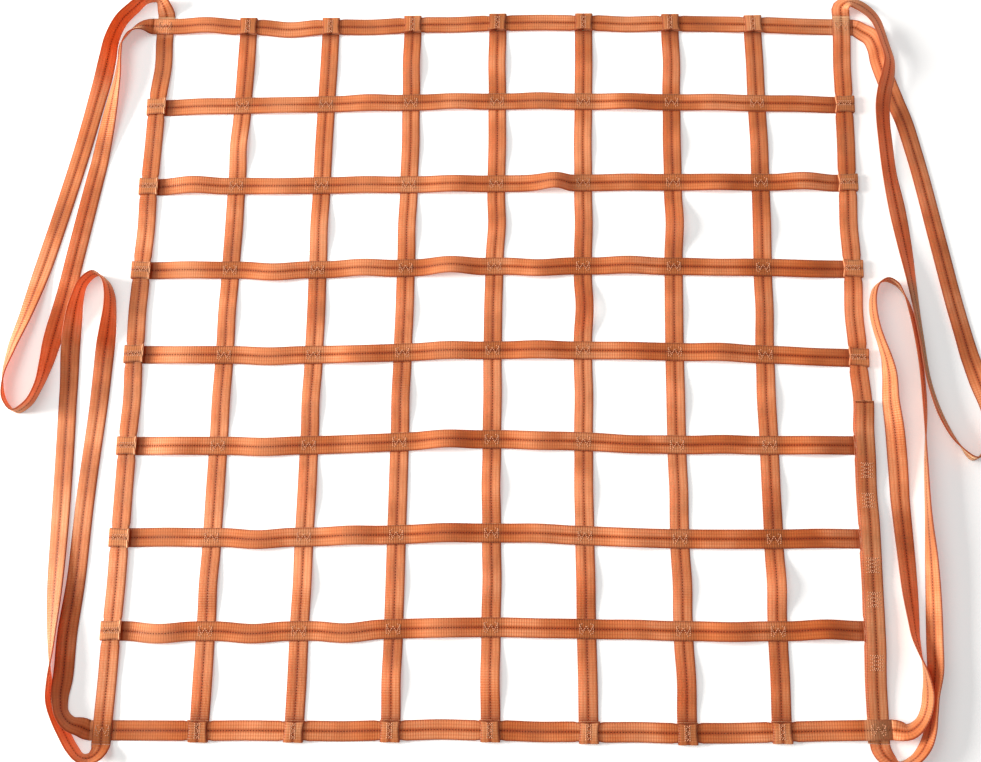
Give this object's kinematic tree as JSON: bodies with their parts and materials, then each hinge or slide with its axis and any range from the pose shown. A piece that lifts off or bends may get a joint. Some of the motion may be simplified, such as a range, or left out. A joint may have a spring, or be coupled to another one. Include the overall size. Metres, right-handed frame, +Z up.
{
  "type": "cargo lifting net",
  "caption": "Square lifting net of flat sewn webbing with a webbing rim and a long lifting loop at each corner, laid out flat on the floor.",
  "frame": {"origin": "on the floor under the middle crossing of the net", "axes": "+X along the cross webbings to the right, +Y along the length webbings to the far side, +Z up from the floor"},
  "size_m": [1.3267, 1.0696, 0.0274],
  "materials": {
    "webbing": "woven orange polyester, matt with a slight sheen",
    "thread": "pale polyester sewing thread",
    "seam_thread": "dark red-brown polyester sewing thread"
  },
  "bodies": {
    "root": {"col_1": "webbing", "col_2": "webbing", "col_3": "webbing", "col_4": "webbing", "col_5": "webbing", "col_6": "webbing", "col_7": "webbing", "row_1": "webbing", "row_2": "webbing", "row_3": "webbing", "row_4": "webbing", "row_5": "webbing", "row_6": "webbing", "row_7": "webbing", "rim_left": "webbing", "rim_right": "webbing", "rim_bottom": "webbing", "rim_top": "webbing", "rim_splice": "webbing", "loop_top_left": "webbing", "loop_bottom_left": "webbing", "loop_top_right": "webbing", "loop_bottom_right": "webbing"}
  },
  "joints": []
}
